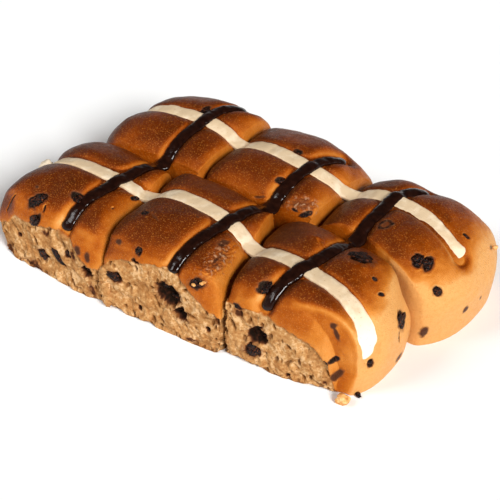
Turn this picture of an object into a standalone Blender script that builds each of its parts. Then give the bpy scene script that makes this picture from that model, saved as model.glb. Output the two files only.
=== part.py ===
"""A slab of six chocolate hot cross buns that proved and baked side by side.

Three buns stand in each of two rows. X runs along the rows, Y from the torn front side to the
crusted back, and Z up from the face that the slab rests on. The origin is the middle of the
slab's footprint. Each bun and each piped strip is an object of its own.
"""
import math
from dataclasses import dataclass

import bmesh
import bpy
from mathutils import Vector

MM = 0.001

# Heights of a bun
BELLY_HEIGHT = 22 * MM       # where a bun is widest
TUCK = 60 * MM               # how far the round underside would reach below the belly

# How neighbours and the tear shape a bun
SEAM_GAP = 0.3 * MM          # between the faces of two buns that touch
BEND_ROOM = 0.4 * MM         # more gap between the rows, where flat facets meet on a bent seam
SEAM_ROUNDING = 2.5 * MM
TORN_ROUNDING = 1.0 * MM
PRESSED = 1.20               # how far past its seam a bun would have spread, as a ratio
TORN = 1.12                  # the same past the torn side
LEANING = 1.32               # the same where a bun leans on its neighbour
DOME_POWER = 2.45            # 2 is an ellipse, and more is a flatter top with a fuller shoulder
CUBE_CUTS = 7                # grid lines across each side of the cube that a bun starts as

# Plan squareness of a bun's corners: 2 is a round corner, and more is a squarer one
ROUND = 2.4
FREE = 2.9                   # a corner with two free sides, or that a neighbour barely presses
HALF_SHUT = 4.5              # a corner with one free side
SHUT = 8.0                   # a corner that neighbours press on from both sides

# Where buns meet and where the slab was torn: lines of plan points in mm
ROWS = ((-123, -2), (-50, 1), (16, 2), (44, 4.4), (58, 4.6), (70, 3), (84, -1), (107, -7))
FRONT_LEFT = ((-45, -79), (-56, 1))
FRONT_RIGHT = ((32, -74), (16, 2))
BACK_LEFT = ((-41, 1), (-41, 75))
BACK_RIGHT = ((36, 2), (38, 62))
TEAR = ((-128, -76), (-108, -79), (-86, -79), (-62, -82), (-44, -79.5), (-22, -77), (18, -75),
        (45, -71.5), (72, -68), (94, -62))

# Piped strips. A stop is a plan point, in mm, that the middle of a strip passes over.
PASTE_STOPS = {
    "front": ((-125, -36), (-70, -34), (-46, -26), (6, -30), (108, -49)),
    "back": ((-118, 36), (-43, 42), (14, 35), (47, 43), (84, 37), (126, 21)),
}
CHOCOLATE_STOPS = {
    "left": ((-75.5, -77), (-68, -23), (-65.5, 40), (-64, 54), (-48, 71)),
    "middle": ((-2, -76), (7, -11), (11, 27), (13, 46), (24, 67)),
    "right": ((56, -69), (64, -27), (65, 25), (65, 45), (82, 66)),
}
PASTE_END_ANGLES = {"front": (12, -8), "back": (5, 28)}   # left and right, above level
CHOCOLATE_END_ANGLES = {"left": 38, "middle": 40, "right": 38}
WRAP_STEP = 8                # degrees between the sections of a strip that turns down an end
LONGEST_REACH = 100 * MM     # more than any bun spreads from its middle
SECTION = 5.0 * MM           # length of a strip's sections over the tops
SLACK_PASSES = 3             # how many times a strip's route is smoothed
STRIP_GAP = 0.3 * MM
HEADROOM = 1.0 * MM          # how far a channel's cutter reaches above its strip


@dataclass
class Piping:
    """A strip's section. Proud is how far its middle stands above the crust, and crown is how
    much higher its middle is than its edges."""

    width: float
    thickness: float
    proud: float
    crown: float


PASTE = Piping(10 * MM, 3.4 * MM, 1.2 * MM, 0.6 * MM)
CHOCOLATE = Piping(8 * MM, 3.2 * MM, 2.4 * MM, 1.3 * MM)


def level_at(stops, axis, position):
    """The other plan coordinate, in metres, of the line through the stops, which are in mm."""
    for start, end in zip(stops, stops[1:]):
        if position <= end[axis] * MM:
            break
    share = (position / MM - start[axis]) / (end[axis] - start[axis])
    return (start[1 - axis] + (end[1 - axis] - start[1 - axis]) * min(max(share, 0), 1)) * MM


@dataclass
class Wall:
    """A side that a neighbour or the tear flattens: an upright sheet above a line of stops that
    runs along an axis. Facing is 1 where the bun ends on the other axis's positive side."""

    stops: tuple
    axis: int
    facing: int
    rounding: float = SEAM_ROUNDING
    gap: float = SEAM_GAP / 2

    def press(self, point):
        """Moves a point that lies near or past the wall back inside it, with a rounded edge."""
        level = level_at(self.stops, self.axis, point[self.axis])
        past = self.facing * (point[1 - self.axis] - level) + self.gap
        if past > -self.rounding:
            kept = -self.rounding * math.exp(-(past + self.rounding) / self.rounding)
            point[1 - self.axis] += self.facing * (kept - past)


@dataclass
class Bun:
    """A dome on a rounded square. Sides are its plan limits in mm, and spreads are how far past
    them the free dome would go, both as left, right, front, back. Corners are plan squareness
    as front-left, front-right, back-left, back-right. Height is in mm."""

    name: str
    sides: tuple
    spreads: tuple
    corners: tuple
    height: float
    walls: list

    def __post_init__(self):
        left, right, front, back = (side * MM for side in self.sides)
        self.middle = Vector(((left + right) / 2, (front + back) / 2, BELLY_HEIGHT))
        halves = [(right - left) / 2] * 2 + [(back - front) / 2] * 2
        self.radii = [half * spread for half, spread in zip(halves, self.spreads)]
        self.rise = self.height * MM - BELLY_HEIGHT

    def scaled(self, point):
        """The point from the bun's middle, with each axis divided by the radius on that side."""
        left, right, front, back = self.radii
        x, y, z = point - self.middle
        return Vector((x / (right if x > 0 else left),
                       y / (back if y > 0 else front),
                       z / (self.rise if z > 0 else TUCK)))

    def squareness(self, x, y):
        return self.corners[(2 if y > 0 else 0) + (1 if x > 0 else 0)]

    def fullness(self, point):
        """1 on the dome, less inside it and more outside."""
        x, y, z = self.scaled(point)
        power = self.squareness(x, y)
        plan = (abs(x) ** power + abs(y) ** power) ** (1 / power)
        return (plan ** DOME_POWER + abs(z) ** DOME_POWER) ** (1 / DOME_POWER)

    def on_dome(self, direction):
        """The point of the free dome in a direction from the bun's middle."""
        return self.middle + direction / self.fullness(self.middle + direction)

    def crust(self, direction):
        """The point of the baked bun in that direction, with its walls and its flat underside."""
        point = self.on_dome(direction)
        for wall in self.walls:
            wall.press(point)
        point.z = max(point.z, 0)
        return point

    def top_over(self, x, y):
        """The dome's height over a plan point, or zero beside the bun."""
        scaled_x, scaled_y, _ = self.scaled(Vector((x, y, 0)))
        power = self.squareness(scaled_x, scaled_y)
        plan = (abs(scaled_x) ** power + abs(scaled_y) ** power) ** (DOME_POWER / power)
        if plan >= 1:
            return 0
        return BELLY_HEIGHT + self.rise * (1 - plan) ** (1 / DOME_POWER)


def lay_out_buns():
    """The six buns of the slab, front row first, each row from left to right."""
    front_walls = [Wall(ROWS, 0, 1), Wall(TEAR, 0, -1, TORN_ROUNDING)]
    back_walls = [Wall(ROWS, 0, -1, gap=SEAM_GAP / 2 + BEND_ROOM)]
    return [
        Bun("bun_front_left", (-127.5, -51, -76, -1), (1, PRESSED, TORN, PRESSED),
            (SHUT, SHUT, FREE, SHUT), 54, [Wall(FRONT_LEFT, 1, 1), *front_walls]),
        Bun("bun_front_middle", (-51, 24, -76, 2), (PRESSED, PRESSED, 1.05 * TORN, PRESSED),
            (SHUT, SHUT, SHUT, SHUT), 56,
            [Wall(FRONT_LEFT, 1, -1), Wall(FRONT_RIGHT, 1, 1), *front_walls]),
        Bun("bun_front_right", (24, 111.5, -69, 2), (PRESSED, 1, TORN, PRESSED),
            (SHUT, ROUND, SHUT, FREE), 56, [Wall(FRONT_RIGHT, 1, -1), *front_walls]),
        Bun("bun_back_left", (-118, -41, 0, 78), (1, LEANING, PRESSED, 1),
            (HALF_SHUT, SHUT, ROUND, SHUT), 55, [Wall(BACK_LEFT, 1, 1), *back_walls]),
        Bun("bun_back_middle", (-41, 38, 2, 79), (PRESSED, PRESSED, PRESSED, 1),
            (SHUT, SHUT, HALF_SHUT, FREE), 56,
            [Wall(BACK_LEFT, 1, -1), Wall(BACK_RIGHT, 1, 1), *back_walls]),
        Bun("bun_back_right", (39, 126.5, -7, 75), (PRESSED, 1, PRESSED, 1),
            (SHUT, ROUND, FREE, FREE), 54, [Wall(BACK_RIGHT, 1, -1), *back_walls]),
    ]


def clear_scene():
    for obj in list(bpy.data.objects):
        bpy.data.objects.remove(obj)


def new_collection(name, hidden=False):
    collection = bpy.data.collections.new(name)
    collection.hide_render = hidden
    bpy.context.scene.collection.children.link(collection)
    return collection


def new_material(name, colour, roughness):
    material = bpy.data.materials.new(name)
    material.use_nodes = True
    shader = material.node_tree.nodes["Principled BSDF"]
    shader.inputs["Base Color"].default_value = (*colour, 1)
    shader.inputs["Roughness"].default_value = roughness
    shader.inputs["Metallic"].default_value = 0
    return material


def new_object(name, mesh, collection, material=None):
    obj = bpy.data.objects.new(name, mesh)
    if material:
        mesh.materials.append(material)
    collection.objects.link(obj)
    return obj


def make_bun(bun, collection, material):
    """A cube with a grid on each side, blown up onto the bun's crust."""
    cage = bmesh.new()
    bmesh.ops.create_cube(cage, size=2)
    bmesh.ops.subdivide_edges(cage, edges=cage.edges, cuts=CUBE_CUTS, use_grid_fill=True)
    for vertex in cage.verts:
        vertex.co = bun.crust(vertex.co.normalized() * MM)
    bmesh.ops.recalc_face_normals(cage, faces=cage.faces)
    mesh = bpy.data.meshes.new(bun.name)
    cage.to_mesh(mesh)
    cage.free()
    mesh.shade_smooth()
    mesh.set_sharp_from_angle(angle=math.radians(40))
    return new_object(bun.name, mesh, collection, material)


def over_tops(buns, axis, stops, start, end):
    """Points over the tops of a row of buns, above the line through the stops."""
    count = round(abs(end - start) / SECTION)
    points = []
    for i in range(count + 1):
        point = Vector((0, 0, 0))
        point[axis] = start + (end - start) * i / count
        point[1 - axis] = level_at(stops, axis, point[axis])
        point.z = max(bun.top_over(point.x, point.y) for bun in buns)
        points.append(point)
    return points


def down_end(bun, axis, stops, heading, end_angle):
    """Points down the crust of a bun's end. Heading is 1 for the end on the axis's positive
    side. The angles are about the bun's middle, and 0 is level."""
    points = []
    position = bun.middle[axis]
    for angle in range(88, end_angle, -WRAP_STEP):
        middle = bun.middle.copy()
        middle[1 - axis] = level_at(stops, axis, position)
        step = Vector((0, 0, math.sin(math.radians(angle))))
        step[axis] = heading * math.cos(math.radians(angle))
        inner, outer = 0, LONGEST_REACH
        while outer - inner > 0.01 * MM:
            half = (inner + outer) / 2
            inner, outer = (half, outer) if bun.fullness(middle + step * half) < 1 else (inner, half)
        points.append(middle + step * inner)
        position = points[-1][axis]
    return points


def smoothed(points):
    """The same route with its inner points drawn towards their neighbours."""
    for _ in range(SLACK_PASSES):
        inner = [(a + 2 * b + c) / 4 for a, b, c in zip(points, points[1:], points[2:])]
        points = [points[0], *inner, points[-1]]
    return points


def paste_route(row, stops, end_angles):
    """A white strip's line: up the left end, over the row's tops and down the right end."""
    first, last = row[0], row[-1]
    left = down_end(first, 0, stops, -1, end_angles[0])
    right = down_end(last, 0, stops, 1, end_angles[1])
    tops = over_tops(row, 0, stops, first.middle.x, last.middle.x)
    return smoothed([*reversed(left), *tops, *right])


def chocolate_route(column, stops, end_angle):
    """A dark strip's line: from the tear over both rows, then part way down the back."""
    back = column[-1]
    tops = over_tops(column, 1, stops, stops[0][1] * MM, back.middle.y)
    return smoothed([*tops, *down_end(back, 1, stops, 1, end_angle)])


def directions(route):
    """The unit direction of a route at each of its points."""
    ahead = [*route[1:], route[-1]]
    behind = [route[0], *route[:-1]]
    return [(a - b).normalized() for a, b in zip(ahead, behind)]


def make_ribbon(name, route, piping, grown, headroom, collection):
    """A crowned ribbon laid along a route, thickened downwards, and grown on every side but
    its top, which the headroom raises."""
    grid = bmesh.new()
    bmesh.ops.create_grid(grid, x_segments=len(route) - 1, y_segments=2, size=1)
    ways = directions(route)
    for vertex in grid.verts:
        i = round((vertex.co.x + 1) / 2 * (len(route) - 1))
        sideways = vertex.co.y
        side = Vector((0, 0, 1)).cross(ways[i]).normalized()
        up = ways[i].cross(side)
        overrun = {0: -grown, len(route) - 1: grown}.get(i, 0)
        rise = piping.proud + headroom - piping.crown * sideways ** 2
        half_width = piping.width / 2 + grown
        vertex.co = route[i] + ways[i] * overrun + side * sideways * half_width + up * rise
    if sum(face.normal.z for face in grid.faces) < 0:
        bmesh.ops.reverse_faces(grid, faces=grid.faces)
    mesh = bpy.data.meshes.new(name)
    grid.to_mesh(mesh)
    grid.free()
    obj = new_object(name, mesh, collection)
    body = obj.modifiers.new("body", "SOLIDIFY")
    body.thickness = piping.thickness + grown + headroom
    body.offset = -1
    return obj


def make_strip(name, route, piping, collection, cutters, material):
    """A strip and, for the channel that it lies in, a cutter that is larger all round."""
    strip = make_ribbon(name, route, piping, 0, 0, collection)
    strip.data.materials.append(material)
    cutter = make_ribbon(name + "_channel", route, piping, STRIP_GAP, HEADROOM, cutters)
    cutter.hide_render = True
    cutter.display_type = "WIRE"
    return strip, cutter


def cut(obj, cutter):
    channel = obj.modifiers.new(cutter.name, "BOOLEAN")
    channel.operation = "DIFFERENCE"
    channel.solver = "EXACT"
    channel.object = cutter


def main():
    clear_scene()
    slab = new_collection("hot_cross_bun_slab")
    cutters = new_collection("channel_cutters", hidden=True)
    crust = new_material("crust", (0.32, 0.11, 0.025), 0.4)
    paste = new_material("paste", (0.75, 0.62, 0.42), 0.75)
    chocolate = new_material("chocolate", (0.02, 0.008, 0.005), 0.25)

    buns = lay_out_buns()
    rows = {"front": buns[:3], "back": buns[3:]}
    columns = dict(zip(CHOCOLATE_STOPS, zip(*rows.values())))
    below = {bun.name: make_bun(bun, slab, crust) for bun in buns}

    for name, row in rows.items():
        route = paste_route(row, PASTE_STOPS[name], PASTE_END_ANGLES[name])
        strip, cutter = make_strip("paste_strip_" + name, route, PASTE, slab, cutters, paste)
        for bun in row:
            cut(below[bun.name], cutter)
        below[strip.name] = strip

    for name, column in columns.items():
        route = chocolate_route(column, CHOCOLATE_STOPS[name], CHOCOLATE_END_ANGLES[name])
        _, cutter = make_strip("chocolate_strip_" + name, route, CHOCOLATE, slab, cutters, chocolate)
        crossed = [bun.name for bun in column] + ["paste_strip_front", "paste_strip_back"]
        for below_name in crossed:
            cut(below[below_name], cutter)


main()
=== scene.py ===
# %% [markdown]
# # A slab of six chocolate hot cross buns
#
# The solid model of the slab is already made: six domed buns in two rows, two piped strips of
# flour paste and three of chocolate. It gives every size and place. This lesson dresses it:
# each solid gets a fine-skinned piece of its own that stands in for it, and what is too small
# for the solid model is added, such as chips, pores, creases and loose crumbs.
#
# The frame is loaded first, because every piece rides on its body and keeps to its box.

# %% Load the frame
import itertools
import math
from dataclasses import dataclass

import bmesh
import bpy
import numpy as np
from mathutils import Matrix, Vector
from mathutils.bvhtree import BVHTree


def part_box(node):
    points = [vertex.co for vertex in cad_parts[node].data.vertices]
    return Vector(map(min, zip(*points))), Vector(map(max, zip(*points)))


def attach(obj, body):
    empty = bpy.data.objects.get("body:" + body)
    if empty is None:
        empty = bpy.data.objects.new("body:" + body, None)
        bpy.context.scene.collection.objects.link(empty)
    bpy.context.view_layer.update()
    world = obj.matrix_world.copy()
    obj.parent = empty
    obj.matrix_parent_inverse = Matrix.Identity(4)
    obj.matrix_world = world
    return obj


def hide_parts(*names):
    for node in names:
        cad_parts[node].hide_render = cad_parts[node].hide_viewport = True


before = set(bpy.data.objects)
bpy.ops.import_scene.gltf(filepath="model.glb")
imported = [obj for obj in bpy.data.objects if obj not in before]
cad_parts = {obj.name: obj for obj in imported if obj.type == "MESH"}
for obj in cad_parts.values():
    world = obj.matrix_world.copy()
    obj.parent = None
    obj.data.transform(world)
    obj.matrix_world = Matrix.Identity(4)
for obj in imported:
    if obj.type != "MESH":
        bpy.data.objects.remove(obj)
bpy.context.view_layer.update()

MM = 0.001

# %% [markdown]
# ## Where the slab is seen from
#
# The camera stands in front of the torn side, a little to the right, and looks down on the
# tops. A long lens from most of a metre away keeps the far buns nearly as large as the near
# ones, as a product shot does. The place is worked out from two angles and a distance, which
# is easier to reason about than three coordinates.

# %% Camera
AIM = Vector((4.5, -11, 20)) * MM
AZIMUTH, ELEVATION = math.radians(36), math.radians(38.7)
DISTANCE = 0.8
LENS = 102.5


def way_out(azimuth, elevation):
    """The direction out to something round the slab. Azimuth 0 is in front, and 90 degrees is on
    the right."""
    return Vector((math.sin(azimuth) * math.cos(elevation),
                   -math.cos(azimuth) * math.cos(elevation), math.sin(elevation)))


def in_scene(name, data, facing_back=None):
    """A new object in the scene, looking back along a direction if one is given."""
    thing = bpy.data.objects.new(name, data)
    if facing_back:
        thing.rotation_euler = facing_back.to_track_quat("Z", "Y").to_euler()
    bpy.context.scene.collection.objects.link(thing)
    return thing


towards_camera = way_out(AZIMUTH, ELEVATION)
camera = in_scene("camera", bpy.data.cameras.new("camera"), towards_camera)
camera.data.lens = LENS
camera.location = AIM + towards_camera * DISTANCE
bpy.context.scene.camera = camera
print("camera at", [round(c, 3) for c in camera.location])

# %% [markdown]
# ## Where a bun was pressed or torn
#
# A bun is a ball of dough that proved between its neighbours, so it is pressed flat where it
# met another bun and torn flat where the slab was pulled from the rest of the batch. Cutting a
# dome with a plane would leave a hard edge. A wall instead pushes back the points that would lie
# beyond it, and slows them down over the last few millimetres, which leaves a rounded edge.

# %% Walls
SEAM_GAP = 0.3 * MM
BEND_ROOM = 0.4 * MM         # more room between the rows
SEAM_ROUNDING = 2.5 * MM
TORN_ROUNDING = 4.0 * MM     # softer than on the solid, so that the crust rolls over the tear
SEAM_BEND = 7 * MM           # half the length over which a seam's line turns


def level_at(stops, axis, positions):
    """The other plan coordinate of the line through the stops, with its bends made round."""
    line = np.array(stops, float) * MM
    nearby = np.linspace(-SEAM_BEND, SEAM_BEND, 9)
    levels = [np.interp(positions + shift, line[:, axis], line[:, 1 - axis]) for shift in nearby]
    return np.mean(levels, axis=0)


@dataclass
class Wall:
    """An upright sheet above a line of stops, which flattens one side of a bun."""

    stops: tuple
    axis: int
    facing: int
    rounding: float = SEAM_ROUNDING
    gap: float = SEAM_GAP / 2

    def press(self, points):
        """Pushes points back inside the wall, and returns how far each had gone past it."""
        other = 1 - self.axis
        level = level_at(self.stops, self.axis, points[:, self.axis])
        past = self.facing * (points[:, other] - level) + self.gap
        near = past > -self.rounding
        kept = -self.rounding * np.exp(-(past[near] + self.rounding) / self.rounding)
        points[near, other] += self.facing * (kept - past[near])
        return past


tried = np.array([[0, 5 * MM, 0]])
Wall(((-10, 0), (10, 0)), 0, 1).press(tried)
print("a wall at 0 presses a point at 5 mm back to", round(tried[0, 1] / MM, 2), "mm")

# %% [markdown]
# ## The shape of a bun
#
# Left alone, a bun is a dome on a rounded square. Sculpting six of them by hand would never match
# the solids. So the same rule that made the solids is written again for whole arrays of points:
# a superellipse, whose power makes a corner rounder or squarer.

# %% The dome
BELLY_HEIGHT = 22 * MM       # where a bun is widest
TUCK = 60 * MM               # how far the round underside would reach below the belly
PRESSED = 1.20               # how far past its seam a bun would have spread, as a ratio
TORN = 1.12                  # the same past the torn side
LEANING = 1.32               # the same where a bun leans on its neighbour
DOME_POWER = 2.45
ROUND, FREE, HALF_SHUT, SHUT = 2.4, 2.9, 4.5, 8.0    # squareness of a corner in plan


@dataclass
class Bun:
    """A dome on a rounded square. Sides and height are in mm. Sides and spreads go left, right,
    front, back, and corners go front-left, front-right, back-left, back-right."""

    name: str
    sides: tuple
    spreads: tuple
    corners: tuple
    height: float
    walls: list

    def __post_init__(self):
        left, right, front, back = (side * MM for side in self.sides)
        self.middle = np.array([(left + right) / 2, (front + back) / 2, BELLY_HEIGHT])
        halves = [(right - left) / 2] * 2 + [(back - front) / 2] * 2
        self.radii = [half * spread for half, spread in zip(halves, self.spreads)]
        self.rise = self.height * MM - BELLY_HEIGHT

    def plan_reach(self, offsets):
        """How far out each offset from the middle lies in plan: 1 is the dome's rim."""
        left, right, front, back = self.radii
        x = offsets[:, 0] / np.where(offsets[:, 0] > 0, right, left)
        y = offsets[:, 1] / np.where(offsets[:, 1] > 0, back, front)
        power = np.array(self.corners)[2 * (y > 0) + (x > 0)]
        return (np.abs(x) ** power + np.abs(y) ** power) ** (1 / power)

    def fullness(self, offsets):
        """1 on the dome, less inside it and more outside."""
        up = offsets[:, 2] / np.where(offsets[:, 2] > 0, self.rise, TUCK)
        return (self.plan_reach(offsets) ** DOME_POWER + np.abs(up) ** DOME_POWER) ** (1 / DOME_POWER)

    def top_over(self, points):
        """The dome's height over plan points, or zero beside the bun."""
        inside = 1 - np.minimum(self.plan_reach(points - self.middle), 1) ** DOME_POWER
        return np.where(inside > 0, BELLY_HEIGHT + self.rise * inside ** (1 / DOME_POWER), 0)


tried = Bun("tried", (-40, 40, -40, 40), (1, 1, 1, 1), (ROUND,) * 4, 55, [])
print("a round bun of 55 mm is", round(tried.top_over(np.array([[0.03, 0, 0]]))[0] / MM, 1),
      "mm high at 30 mm from its middle")

# %% [markdown]
# ## The layout of the six buns
#
# The stops below are the lines along which the buns meet and along which the slab was torn,
# in mm. They repeat the solid model's own, so each fine piece lands on its solid.

# %% Lay out the buns
ROWS = ((-123, -2), (-50, 1), (16, 2), (44, 4.4), (58, 4.6), (70, 3), (84, -1), (107, -7))
FRONT_LEFT = ((-45, -79), (-56, 1))
FRONT_RIGHT = ((32, -74), (16, 2))
BACK_LEFT = ((-41, 1), (-41, 75))
BACK_RIGHT = ((36, 2), (38, 62))
TEAR = ((-128, -76), (-108, -79), (-86, -79), (-62, -82), (-44, -79.5), (-22, -77), (18, -75),
        (45, -71.5), (72, -68), (94, -62))

tear = Wall(TEAR, 0, -1, TORN_ROUNDING)
front_walls = [Wall(ROWS, 0, 1), tear]
back_walls = [Wall(ROWS, 0, -1, gap=SEAM_GAP / 2 + BEND_ROOM)]
buns = [
    Bun("bun_front_left", (-127.5, -51, -76, -1), (1, PRESSED, TORN, PRESSED),
        (SHUT, SHUT, FREE, SHUT), 54, [Wall(FRONT_LEFT, 1, 1), *front_walls]),
    Bun("bun_front_middle", (-51, 24, -76, 2), (PRESSED, PRESSED, 1.05 * TORN, PRESSED),
        (SHUT, SHUT, SHUT, SHUT), 56,
        [Wall(FRONT_LEFT, 1, -1), Wall(FRONT_RIGHT, 1, 1), *front_walls]),
    Bun("bun_front_right", (24, 111.5, -69, 2), (PRESSED, 1, TORN, PRESSED),
        (SHUT, ROUND, SHUT, FREE), 56, [Wall(FRONT_RIGHT, 1, -1), *front_walls]),
    Bun("bun_back_left", (-118, -41, 0, 78), (1, LEANING, PRESSED, 1),
        (HALF_SHUT, SHUT, ROUND, SHUT), 55, [Wall(BACK_LEFT, 1, 1), *back_walls]),
    Bun("bun_back_middle", (-41, 38, 2, 79), (PRESSED, PRESSED, PRESSED, 1),
        (SHUT, SHUT, HALF_SHUT, FREE), 56,
        [Wall(BACK_LEFT, 1, -1), Wall(BACK_RIGHT, 1, 1), *back_walls]),
    Bun("bun_back_right", (39, 126.5, -7, 75), (PRESSED, 1, PRESSED, 1),
        (SHUT, ROUND, FREE, FREE), 54, [Wall(BACK_RIGHT, 1, -1), *back_walls]),
]
rows = {"front": buns[:3], "back": buns[3:]}
columns = dict(zip(("left", "middle", "right"), zip(*rows.values())))
for bun in buns:
    _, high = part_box(bun.name)
    print(bun.name, "top of rule", round((bun.middle[2] + bun.rise) / MM, 1),
          "top of solid", round(high[2] / MM, 1))

# %% [markdown]
# ## The lines that the strips follow
#
# Each strip was piped in one pass: the paste along a row before baking, the chocolate across
# both rows. A line over the tops comes from plan stops and the domes' height. Where a strip
# turns down an end, rays from the bun's middle find the crust, a few degrees apart.

# %% Routes of the strips
PASTE_STOPS = {
    "front": ((-125, -36), (-70, -34), (-46, -26), (6, -30), (108, -49)),
    "back": ((-118, 36), (-43, 42), (14, 35), (47, 43), (84, 37), (126, 21)),
}
CHOCOLATE_STOPS = {
    "left": ((-75.5, -77), (-68, -23), (-65.5, 40), (-64, 54), (-48, 71)),
    "middle": ((-2, -76), (7, -11), (11, 27), (13, 46), (24, 67)),
    "right": ((53, -69), (64, -27), (65, 25), (65, 45), (82, 66)),
}
PASTE_END_ANGLES = {"front": (12, -8), "back": (5, 28)}   # left and right, above level
CHOCOLATE_END_ANGLES = {"left": 38, "middle": 40, "right": 38}
WRAP_START, WRAP_STEP = 88, 8            # degrees above level
LONGEST_REACH, REACH_STEPS = 100 * MM, 2001
SECTION = 5 * MM


def over_tops(row, axis, stops, start, end):
    """Points over the tops of a row of buns, above the line through the stops."""
    points = np.zeros((round(abs(end - start) / SECTION) + 1, 3))
    points[:, axis] = np.linspace(start, end, len(points))
    points[:, 1 - axis] = level_at(stops, axis, points[:, axis])
    points[:, 2] = np.max([bun.top_over(points) for bun in row], axis=0)
    return points


def down_end(bun, axis, stops, heading, end_angle):
    """Points down the crust of a bun's end, at angles about its middle."""
    points = []
    position = bun.middle[axis]
    for angle in np.radians(range(WRAP_START, end_angle, -WRAP_STEP)):
        middle = bun.middle.copy()
        middle[1 - axis] = level_at(stops, axis, position)
        way = np.array([0, 0, math.sin(angle)])
        way[axis] = heading * math.cos(angle)
        reaches = np.linspace(0, LONGEST_REACH, REACH_STEPS)
        full = bun.fullness(middle + way * reaches[:, None] - bun.middle)
        points.append(middle + way * reaches[np.searchsorted(full, 1)])
        position = points[-1][axis]
    return points


print("points over the front row:", len(over_tops(rows["front"], 0, PASTE_STOPS["front"], -0.09, 0.07)))

# %% [markdown]
# ## Fine routes
#
# A line through points 5 mm apart has corners that a glossy strip would show. So each line is
# slackened, cut into half-millimetre steps and softened, and from then on it is a route that a
# section can be carried along.

# %% Fine routes
SLACK_PASSES = 3
STRIP_STEP = 0.5 * MM        # between the sections of a fine strip
ROUTE_SOFTENING = 5          # steps


def steps_along(points):
    """The distance along a line of points from its start to each of them."""
    steps = np.linalg.norm(np.diff(points, axis=0), axis=1)
    return np.concatenate([[0], np.cumsum(steps)])


def softened(values, reach):
    """Rows of values drawn towards their neighbours, over a reach counted in rows."""
    shifts = np.arange(-3 * reach, 3 * reach + 1)
    weights = np.exp(-(shifts / reach) ** 2 / 2)
    rows_near = np.clip(np.arange(len(values))[:, None] + shifts, 0, len(values) - 1)
    return np.einsum("ij...,j->i...", values[rows_near], weights / weights.sum())


def fine_route(points):
    """The same line as a smooth one with a point at every strip step."""
    points = np.array(points)
    for _ in range(SLACK_PASSES):
        points[1:-1] = (points[:-2] + 2 * points[1:-1] + points[2:]) / 4
    along = steps_along(points)
    places = np.arange(0, along[-1], STRIP_STEP)
    fine = np.stack([np.interp(places, along, points[:, i]) for i in range(3)], axis=1)
    return softened(fine, ROUTE_SOFTENING)


routes = {}
for place, row in rows.items():
    stops, angles = PASTE_STOPS[place], PASTE_END_ANGLES[place]
    left, right = (down_end(row[end], 0, stops, heading, angle)
                   for end, heading, angle in ((0, -1, angles[0]), (-1, 1, angles[1])))
    tops = over_tops(row, 0, stops, row[0].middle[0], row[-1].middle[0])
    routes["paste_strip_" + place] = fine_route([*reversed(left), *tops, *right])
for place, column in columns.items():
    stops = CHOCOLATE_STOPS[place]
    tops = over_tops(column, 1, stops, stops[0][1] * MM, column[-1].middle[1])
    back = down_end(column[-1], 1, stops, 1, CHOCOLATE_END_ANGLES[place])
    routes["chocolate_strip_" + place] = fine_route([*tops, *back])
print({name: len(route) for name, route in routes.items()})

# %% [markdown]
# ## Unevenness that can be repeated
#
# Dough is lumpy at every scale. A Displace modifier with a texture could do it, but it knows
# nothing of strips, tears or chips. Here the lumps are a function of a point in space, so they
# can be masked and mixed before a point is moved. The gradients are drawn from a seeded
# generator, so each run gives the same slab.

# %% Lumps
LATTICE = 24
OFF_LATTICE = 0.37           # keeps the slab's own middle planes off the lattice, where lumps are flat
LUMP_SCALE = 1.7             # brings the lumps to between about -1 and 1
gradients = np.random.default_rng(7).normal(size=(LATTICE, LATTICE, LATTICE, 3))
gradients /= np.linalg.norm(gradients, axis=3, keepdims=True)


def lumps(points, size, shift=0.0):
    """Smooth unevenness from about -1 to 1, with lumps as wide as the size. A size may differ
    along each axis, and a shift gives other lumps."""
    places = points / size + shift + OFF_LATTICE
    cells = np.floor(places).astype(int)
    inside = places - cells
    fade = inside ** 3 * (inside * (inside * 6 - 15) + 10)
    total = np.zeros(len(points))
    for corner in itertools.product((0, 1), repeat=3):
        slopes = gradients[tuple(((cells + corner) % LATTICE).T)]
        weight = np.prod(np.where(corner, fade, 1 - fade), axis=1)
        total += weight * np.sum(slopes * (inside - corner), axis=1)
    return total * LUMP_SCALE


def ease(values, start, end):
    """0 before the start, 1 after the end, and smooth between them."""
    share = np.clip((values - start) / (end - start), 0, 1)
    return share * share * (3 - 2 * share)


tried = lumps(np.random.default_rng(0).random((5000, 3)), 100 * MM)
print("lumps run from", round(tried.min(), 2), "to", round(tried.max(), 2))

# %% [markdown]
# ## A cage for a fine skin
#
# A subdivided sphere bunches its faces at the poles, and a voxel remesh wastes them on the
# underside. A bun is closer to a box, so its skin is a grid over a box: a square top, four
# sides that share its edges, and a plain base of a few rings. A point on the box only gives a
# direction from the bun's middle.

# %% Cage
BASE_RINGS = 10
LOWEST = -0.95               # how far down the box's sides go, where its top is at 1


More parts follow.
